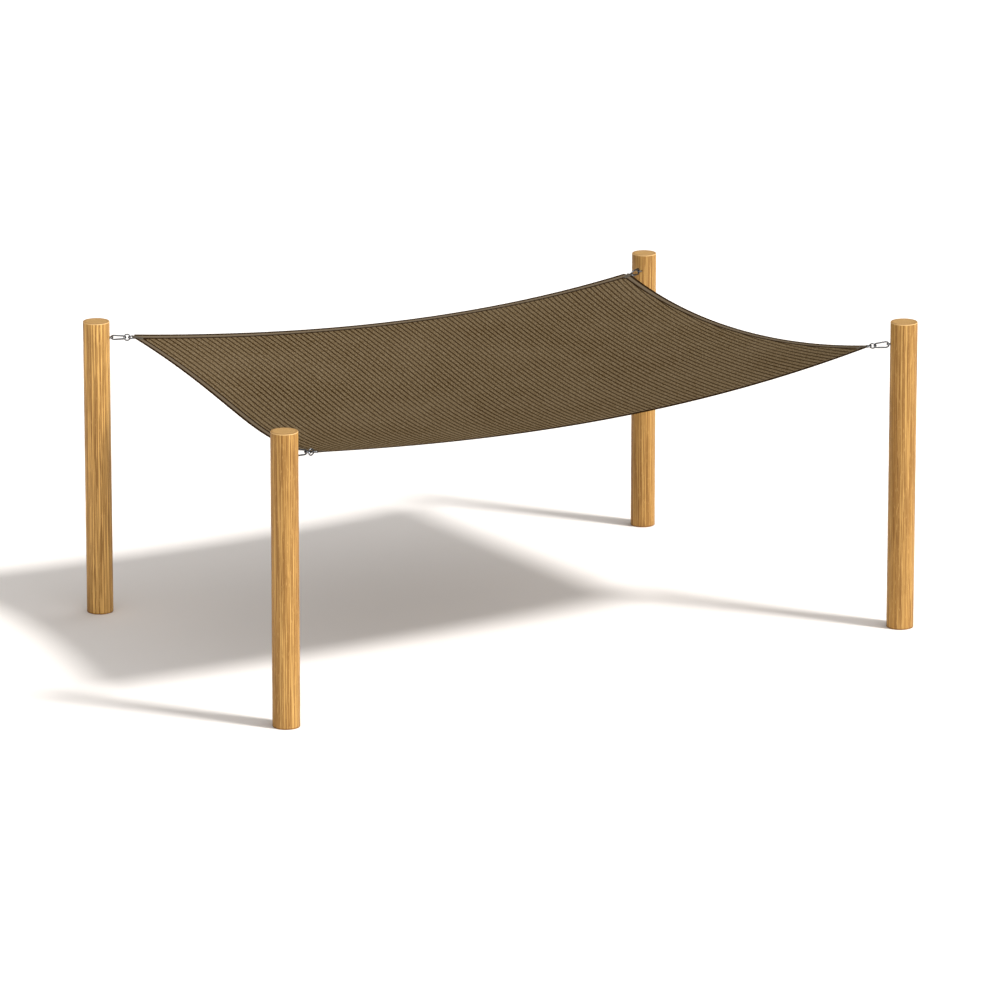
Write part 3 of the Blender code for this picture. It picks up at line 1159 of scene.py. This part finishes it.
@dataclass(frozen=True)
class Seam:
    """Rows of stitches that lie on cloth, each a low rounded bar of thread.

    dip is how far a stitch's two ends sink towards the cloth, as a share of the thread.
    """

    thread: float = 0.0014
    stitch: float = 0.0065
    pitch: float = 0.0095
    dip: float = 0.4
    sides: int = 6

    def _one_stitch(self) -> tuple[np.ndarray, list[tuple[int, ...]]]:
        """Model one stitch along +X, its middle at the origin.

        Returns:
            Its points, and its faces as numbers of points.
        """
        bench = Bench(
            "stitch",
            bpy.ops.mesh.primitive_cylinder_add,
            vertices=self.sides,
            radius=self.thread / 2,
            depth=self.stitch / 2,
            rotation=(0.0, math.pi / 2, 0.0),
        )
        for way in (-1.0, 1.0):
            end = way * self.stitch / 4
            bench.select(Pick.FACES, lambda point: abs(point.x - end) < MERGE)
            move = (end, 0.0, -self.thread * self.dip)
            bpy.ops.mesh.extrude_region_move(TRANSFORM_OT_translate={"value": move})
            tip = (2 * end, 0.0, move[2])
            bpy.ops.transform.resize(value=(0.5, 0.5, 0.5), center_override=tip)
        bar = bench.close()
        points = np.array([point.co[:] for point in bar.data.vertices])
        faces = [tuple(face.vertices) for face in bar.data.polygons]
        bpy.data.objects.remove(bar, do_unlink=True)
        return points, faces

    def build(
        self,
        name: str,
        places: Sequence[tuple[np.ndarray, np.ndarray, np.ndarray]],
        finish: Finish,
    ) -> bpy.types.Object:
        """Lay a copy of the stitch at each place, all of them in one mesh.

        Args:
            name: the piece's name.
            places: for each stitch its middle, its direction and the way off the cloth.
            finish: the thread.

        Returns:
            The finished piece.
        """
        points, faces = self._one_stitch()
        all_points, all_faces = [], []
        for i, (middle, along, off) in enumerate(places):
            along = along / np.linalg.norm(along)
            off = off - along * (off @ along)
            off = off / np.linalg.norm(off)
            axes = np.stack((along, np.cross(off, along), off))
            all_points.append(middle + points @ axes)
            all_faces += [tuple(index + i * len(points) for index in face) for face in faces]
        mesh = bpy.data.meshes.new(name)
        mesh.from_pydata(np.concatenate(all_points).tolist(), [], all_faces)
        mesh.update()
        row = bpy.data.objects.new(name, mesh)
        bpy.context.scene.collection.objects.link(row)
        smooth(row, 60)
        return fit(row, finish)

    def along_path(
        self, path: np.ndarray, off: np.ndarray
    ) -> list[tuple[np.ndarray, np.ndarray, np.ndarray]]:
        """Space stitches evenly along a line of points.

        Args:
            path: the points.
            off: the way off the cloth at each.

        Returns:
            For each stitch its middle, its direction and the way off the cloth.
        """
        steps = np.linalg.norm(np.diff(path, axis=0), axis=1)
        reach = np.concatenate(([0.0], np.cumsum(steps)))
        count = max(2, int(reach[-1] / self.pitch))
        at = (np.arange(count) + 0.5) * reach[-1] / count

        def read(values: np.ndarray, where: np.ndarray) -> np.ndarray:
            """Values at distances along the line."""
            return np.stack([np.interp(where, reach, values[:, k]) for k in range(3)], axis=1)

        half = self.stitch / 2
        ahead, behind = read(path, at + half), read(path, at - half)
        return list(zip(read(path, at), ahead - behind, read(off, at)))


@dataclass(frozen=True)
class Strap:
    """Webbing loop round the D-ring's bar, sewn to the cloth above and below.

    The fold's two angles are where it leaves each tail, round the bar. The seam's box starts near
    the cloth's rim, ends far short of the tail's end and stays off the strap's sides.
    """

    corner: Corner
    layout: Layout
    finish: Finish
    thread: Finish
    width: float = 0.034
    thickness: float = 0.002
    length: float = 0.070
    gap: float = 0.0011
    hem_thickness: float = 0.003
    fold_first: float = 70.0
    fold_last: float = 290.0
    fold_points: int = 24
    seam_near: float = 0.008
    seam_far: float = 0.006
    seam_side: float = 0.005
    seam_lift: float = 0.0001
    across_cells: int = 12
    along_cells: int = 96

    def _path(self) -> np.ndarray:
        """Middle line of the folded strap, in the frame of the cloth's corner.

        Returns:
            Points in the frame's XY plane, one for each row of cells.
        """
        sizes = self.layout.hardware
        half = self.thickness / 2
        layer = self.hem_thickness / 2 + self.gap + half
        around = sizes.d_wire / 2 + sizes.gap + half
        cloth = self.layout.cloth_frame(self.corner)
        bar = cloth.inverted() @ self.layout.chain_frame(self.corner).translation
        angles = np.radians(np.linspace(self.fold_first, self.fold_last, self.fold_points))
        fold = np.stack((bar.x + around * np.cos(angles), bar.y + around * np.sin(angles)), axis=1)
        ends = np.array(((self.length, layer), (0.0, layer)))
        raw = np.concatenate((ends, fold, ends[::-1] * (1.0, -1.0)))
        steps = np.linalg.norm(np.diff(raw, axis=0), axis=1)
        reach = np.concatenate(([0.0], np.cumsum(steps)))
        at = np.linspace(0.0, reach[-1], self.along_cells + 1)
        return np.stack([np.interp(at, reach, raw[:, k]) for k in range(2)], axis=1)

    def build(self) -> list[bpy.types.Object]:
        """Fold the strap and sew it.

        Returns:
            The strap and its stitches.
        """
        path = self._path()
        cut = float(np.linalg.norm(np.diff(path, axis=0), axis=1).sum())
        bench = Bench(
            f"webbing_{self.corner.name}",
            bpy.ops.mesh.primitive_grid_add,
            x_subdivisions=self.across_cells,
            y_subdivisions=self.along_cells,
            size=1.0,
        )
        strap = bench.close()
        shape = strap.data
        flat = shape.uv_layers[0]
        flat.name = "Flat"
        rows = {}
        for point in shape.vertices:
            row = round((point.co.y + 0.5) * self.along_cells)
            rows[point.index] = (point.co.x * self.width, row)
        for loop in shape.loops:
            across, row = rows[loop.vertex_index]
            flat.data[loop.index].uv = (across, cut * row / self.along_cells)
        for point in shape.vertices:
            across, row = rows[point.index]
            point.co = (path[row][0], path[row][1], across)
        wall = strap.modifiers.new("Thickness", "SOLIDIFY")
        wall.thickness = self.thickness
        wall.offset = 0.0
        wall.use_even_offset = True
        apply_modifiers(strap)
        frame_here = self.layout.cloth_frame(self.corner)
        shape.transform(frame_here)
        smooth(strap, 40)
        fit(strap, self.finish, f"corner_strap_{self.corner.name}")
        return [strap, self._sew(frame_here)]

    def _sew(self, place: Matrix) -> bpy.types.Object:
        """Sew a box and a cross through each tail, on both its outer sides."""
        seam = Seam(thread=0.0010, stitch=0.0032, pitch=0.0042)
        outer = self.hem_thickness / 2 + self.gap + self.thickness + self.seam_lift
        near, far = self.seam_near, self.length - self.seam_far
        side = self.width / 2 - self.seam_side
        box = [(near, -side), (near, side), (far, side), (far, -side), (near, -side)]
        cross = [[(near, -side), (far, side)], [(near, side), (far, -side)]]
        places = []
        for way in (1.0, -1.0):
            lines = [box[i : i + 2] for i in range(4)] + cross
            for line in lines:
                local = [Vector((x, way * outer, z)) for x, z in line]
                path = np.array([(place @ point)[:] for point in local])
                off = np.array([(place.to_3x3() @ Vector((0.0, way, 0.0)))[:]] * 2)
                places += seam.along_path(path, off)
        return seam.build(f"strap_stitches_{self.corner.name}", places, self.thread)


# ---------------------------------------------------------------- sail


@dataclass(frozen=True)
class Sail:
    """The knitted cloth, one thin sheet with ribs, turned-in hems and blunt corners."""

    layout: Layout
    finish: Finish
    thread: Finish
    faint_thread: Finish
    ribs_across: tuple[float, ...] = (78.0, 25.0, -9.0)
    ribs_gained: tuple[float, ...] = (18.0, 7.0, -17.0)
    columns: int = 200
    rows: int = 72
    hem_thickness: float = 0.0030
    hem_lines: tuple[float, ...] = (0.0, 0.003, 0.020, 0.040, 0.050, 0.054, 0.0585, 0.0602, 0.0620)
    hem_weights: tuple[float, ...] = (0.7, 1.0, 1.0, 1.0, 0.95, 0.75, 1.0, 0.85, 0.667)
    seam_rows: tuple[float, ...] = (0.0522, 0.0558)
    seam_height: float = 0.36
    seam_points: int = 400
    seam_end: float = 0.004
    long_side: float = 4.55
    short_side: float = 3.20

    def _ribs(self, u: np.ndarray, v: np.ndarray) -> np.ndarray:
        """Count the ribs from the left edge.

        The knit is drawn out unevenly: its ribs lie closer to the right, and a few more of them
        end in the right edge than in the back one.

        Args:
            u: from 0 at the left edge to 1 at the right one.
            v: from 0 at the back edge to 1 at the front one, of the same shape.

        Returns:
            The rib's number at each point, whole numbers being the lines between ribs.
        """
        count = np.zeros_like(u)
        for power, (plain, gained) in enumerate(zip(self.ribs_across, self.ribs_gained), 1):
            count += (plain + gained * v) * u**power
        return count

    def _lines(self, side: float, cells: int) -> tuple[np.ndarray, np.ndarray]:
        """Lay out the lines of the mesh from one edge to the opposite one.

        Args:
            side: the distance between the two edges.
            cells: how many cells lie between the hems.

        Returns:
            Where the lines lie, from 0 to 1, and the thickness there as a share of the hem's.
        """
        hem = np.array(self.hem_lines) / side
        inner = np.linspace(hem[-1], 1 - hem[-1], cells + 1)[1:-1]
        weights = np.array(self.hem_weights)
        plain = np.full(len(inner), weights[-1])
        lines = np.concatenate((hem, inner, 1 - hem[::-1]))
        return lines, np.concatenate((weights, plain, weights[::-1]))

    def _grid(self) -> tuple[np.ndarray, np.ndarray, np.ndarray]:
        """Lay out the whole mesh.

        Returns:
            u, v and the thickness weight, each by row and column.
        """
        u_lines, u_weights = self._lines(self.long_side, self.columns)
        v_lines, v_weights = self._lines(self.short_side, self.rows)
        u, v = np.meshgrid(u_lines, v_lines)
        in_side = np.minimum(u, 1 - u) * self.long_side < self.hem_lines[-1]
        in_end = np.minimum(v, 1 - v) * self.short_side < self.hem_lines[-1]
        of_side = np.where(in_side, u_weights[None, :], np.inf)
        of_end = np.where(in_end, v_weights[:, None], np.inf)
        weight = np.minimum(of_side, of_end)
        return u, v, np.where(np.isinf(weight), self.hem_weights[-1], weight)

    def build(self) -> bpy.types.Object:
        """Hang the cloth.

        Returns:
            The finished cloth.
        """
        u, v, weight = self._grid()
        rows, columns = u.shape
        points = self.layout.points(u, v)
        bench = Bench(
            "knitted_sail",
            bpy.ops.mesh.primitive_grid_add,
            x_subdivisions=columns - 1,
            y_subdivisions=rows - 1,
            size=1.0,
        )
        sail = bench.close(merge=1e-9)
        shape = sail.data
        at = np.empty(len(shape.vertices) * 3)
        shape.vertices.foreach_get("co", at)
        at = at.reshape(-1, 3)
        i = np.rint((at[:, 0] + 0.5) * (columns - 1)).astype(int)
        j = np.rint((0.5 - at[:, 1]) * (rows - 1)).astype(int)
        shape.vertices.foreach_set("co", points[j, i].ravel())
        self._lay_maps(shape, u[j, i], v[j, i])
        group = sail.vertex_groups.new(name="Thickness")
        shares = np.round(weight[j, i], 3)
        for value in np.unique(shares):
            members = np.nonzero(shares == value)[0]
            group.add(members.tolist(), float(value), "REPLACE")
        self._cut_corners(sail)
        sheet = sail.modifiers.new("Thickness", "SOLIDIFY")
        sheet.thickness = self.hem_thickness
        sheet.offset = 0.0
        sheet.vertex_group = "Thickness"
        apply_modifiers(sail)
        smooth(sail, 50)
        return fit(sail, self.finish, "sail_cloth")

    def _lay_maps(self, shape: bpy.types.Mesh, u: np.ndarray, v: np.ndarray) -> None:
        """Write the two UV maps that the cloth's finish reads."""
        side = np.minimum(u, 1 - u) * self.long_side
        back, front = v * self.short_side, (1 - v) * self.short_side
        faced = np.minimum(side, back)
        hem = np.stack((faced, np.minimum(faced, front)), axis=1)
        knit = np.stack((self._ribs(u, v), back), axis=1)
        vertex = np.empty(len(shape.loops), dtype=int)
        shape.loops.foreach_get("vertex_index", vertex)
        shape.uv_layers[0].name = "Knit"
        shape.uv_layers.new(name="Hem")
        shape.uv_layers["Knit"].data.foreach_set("uv", knit[vertex].ravel())
        shape.uv_layers["Hem"].data.foreach_set("uv", hem[vertex].ravel())

    def _cut_corners(self, sail: bpy.types.Object) -> None:
        """Cut the four corners blunt."""
        select_alone(sail)
        bpy.ops.object.mode_set(mode="EDIT")
        for corner in CORNERS:
            bpy.ops.mesh.select_all(action="SELECT")
            bpy.ops.mesh.bisect(
                plane_co=self.layout.hardware.tip_in_plan(corner),
                plane_no=-plan_direction(corner.chain_angle),
                clear_outer=True,
            )
        bpy.ops.object.mode_set(mode="OBJECT")

    def sew(self) -> list[bpy.types.Object]:
        """Sew two rows along each hem, on both faces of the cloth.

        Returns:
            The stitches, one piece for each hem.
        """
        seam = Seam()
        t = np.linspace(0.0, 1.0, self.seam_points)
        made = []
        for name in ("back", "front", "left", "right"):
            places = []
            for distance in self.seam_rows:
                across = distance / (self.short_side if name in ("back", "front") else self.long_side)
                fixed = np.full_like(t, across if name in ("back", "left") else 1 - across)
                u, v = (t, fixed) if name in ("back", "front") else (fixed, t)
                path = self.layout.points(u, v)
                up = self.layout.slopes(u, v)[2]
                keep = self._between_cuts(path)
                path, up = path[keep], up[keep]
                for way in (1.0, -1.0):
                    skin = self.hem_thickness * self.seam_height * way
                    places += seam.along_path(path + up * skin, up * way)
            thread = self.faint_thread if name == "front" else self.thread
            made.append(seam.build(f"hem_stitches_{name}", places, thread))
        return made

    def _between_cuts(self, path: np.ndarray) -> np.ndarray:
        """Tell which points of a line lie between the blunt corners."""
        keep = np.ones(len(path), dtype=bool)
        for corner in CORNERS:
            tip = np.array(self.layout.hardware.tip_in_plan(corner))
            way = np.array(plan_direction(corner.chain_angle))
            keep &= (path - tip) @ way > self.seam_end
        return keep


# ---------------------------------------------------------------- studio


@dataclass(frozen=True)
class Studio:
    """Pale floor, one soft sun and a sky that looks white, seen through a long lens."""

    target: tuple[float, float, float] = (0.0839, -0.0500, 0.9462)
    distance: float = 60.0
    azimuth: float = -29.80
    elevation: float = 15.5
    lens: float = 284.68
    sun_azimuth: float = -53.8
    sun_elevation: float = 47.8
    sun_spread: float = 9.0
    sun_strength: float = 3.30
    sky: float = 0.80
    sky_low: float = 1.5
    sky_fall: float = 0.85
    sky_lean: float = 0.85
    sky_azimuth: float = -62.0
    mirrored_from: tuple[float, float] = (0.50, 0.85)
    mirrored_sky: float = 4.0
    mirrored_ground: float = 0.02
    floor_size: float = 600.0
    floor_colour: tuple[float, float, float] = (0.90, 0.855, 0.815)

    def build(self) -> None:
        """Set up the floor, the lights and the camera."""
        self._floor()
        self._sun()
        self._sky()
        self._camera()
        bpy.context.scene.view_settings.view_transform = "Standard"
        bpy.context.scene.view_settings.look = "None"

    def _floor(self) -> None:
        """Lay the pale floor."""
        bpy.ops.object.select_all(action="DESELECT")
        bpy.ops.mesh.primitive_plane_add(size=self.floor_size)
        floor = bpy.context.active_object
        floor.name = floor.data.name = "studio_floor"
        graph = NodeGraph.of_material("Studio floor")
        grain = graph.noise(graph.place(), 2.0, 2.0)
        paler = tuple(min(1.0, 1.01 * x) for x in self.floor_colour)
        colour = graph.mix(grain, self.floor_colour, paler)
        graph.finish(Base_Color=colour, Roughness=0.95, Specular_IOR_Level=0.0)
        floor.data.materials.append(graph.owner)

    def _sun(self) -> None:
        """Hang the sun."""
        light = bpy.data.lights.new("Sun", "SUN")
        light.energy = self.sun_strength
        light.angle = math.radians(self.sun_spread)
        sun = bpy.data.objects.new("Sun", light)
        bpy.context.scene.collection.objects.link(sun)
        up = math.radians(self.sun_elevation)
        flat = plan_direction(self.sun_azimuth) * math.cos(up)
        way = Vector((flat.x, flat.y, math.sin(up)))
        sun.rotation_euler = way.to_track_quat("Z", "Y").to_euler()

    def _sky(self) -> None:
        """Fill the world with soft light, white where the camera sees it.

        It is brighter low down and towards the front, and steel mirrors it as dark low down and
        bright above, as it would a studio.
        """
        world = bpy.data.worlds.new("Sky")
        bpy.context.scene.world = world
        graph = NodeGraph(world, "Background")
        x, y, z = graph.split(graph.node("ShaderNodeTexCoord", output="Generated"))
        front = plan_direction(self.sky_azimuth) * self.sky_lean
        lean = x * front.x + y * front.y + 1.0
        soft = lean * (z.at_least(0.0) * -self.sky_fall + self.sky_low) * self.sky
        mirrored = z.step(*self.mirrored_from) * self.mirrored_sky + self.mirrored_ground
        seen = graph.node("ShaderNodeLightPath", output="Is Camera Ray")
        glossy = graph.node("ShaderNodeLightPath", output="Is Glossy Ray")
        unseen = mirrored * glossy + soft * (1 - glossy)
        graph.finish(Color=(1.0, 1.0, 1.0), Strength=seen + unseen * (1 - seen))

    def _camera(self) -> None:
        """Stand the camera where the photograph was taken from."""
        lens = bpy.data.cameras.new("Camera")
        lens.lens = self.lens
        lens.sensor_width = 36.0
        lens.clip_end = 2000.0
        camera = bpy.data.objects.new("Camera", lens)
        bpy.context.scene.collection.objects.link(camera)
        azimuth, up = math.radians(self.azimuth), math.radians(self.elevation)
        away = Vector((math.sin(azimuth), -math.cos(azimuth), 0.0)) * math.cos(up)
        away.z = math.sin(up)
        camera.location = Vector(self.target) + away * self.distance
        camera.rotation_euler = away.to_track_quat("Z", "Y").to_euler()
        bpy.context.scene.camera = camera


def main() -> None:
    """Build and dress every piece, and set up the studio."""
    logging.basicConfig(level=logging.INFO, format="%(name)s: %(message)s")
    LOG.info("%d plain solids in the frame", len(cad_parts))
    layout = Layout()
    steel = BrightSteel("Bright steel wire", Slot.STEEL)
    webbing = Webbing("Woven webbing", Slot.WEBBING)
    cloth = KnittedCloth("Knitted shade cloth", Slot.CLOTH)
    thread = Thread("Dark sewing thread", Slot.CLOTH)
    faint = Thread(
        "Taupe sewing thread",
        Slot.CLOTH,
        colour=(0.130, 0.090, 0.048),
        fleck=(0.20, 0.15, 0.09),
    )

    for corner in CORNERS:
        Post(corner).build()
        Chain(corner, layout, steel).build()
    straps = [piece for corner in CORNERS for piece in Strap(corner, layout, webbing, thread).build()]
    sail = Sail(layout, cloth, thread, faint)
    sheet = sail.build()
    stitches = sail.sew()
    Studio().build()


if __name__ == "__main__":
    main()
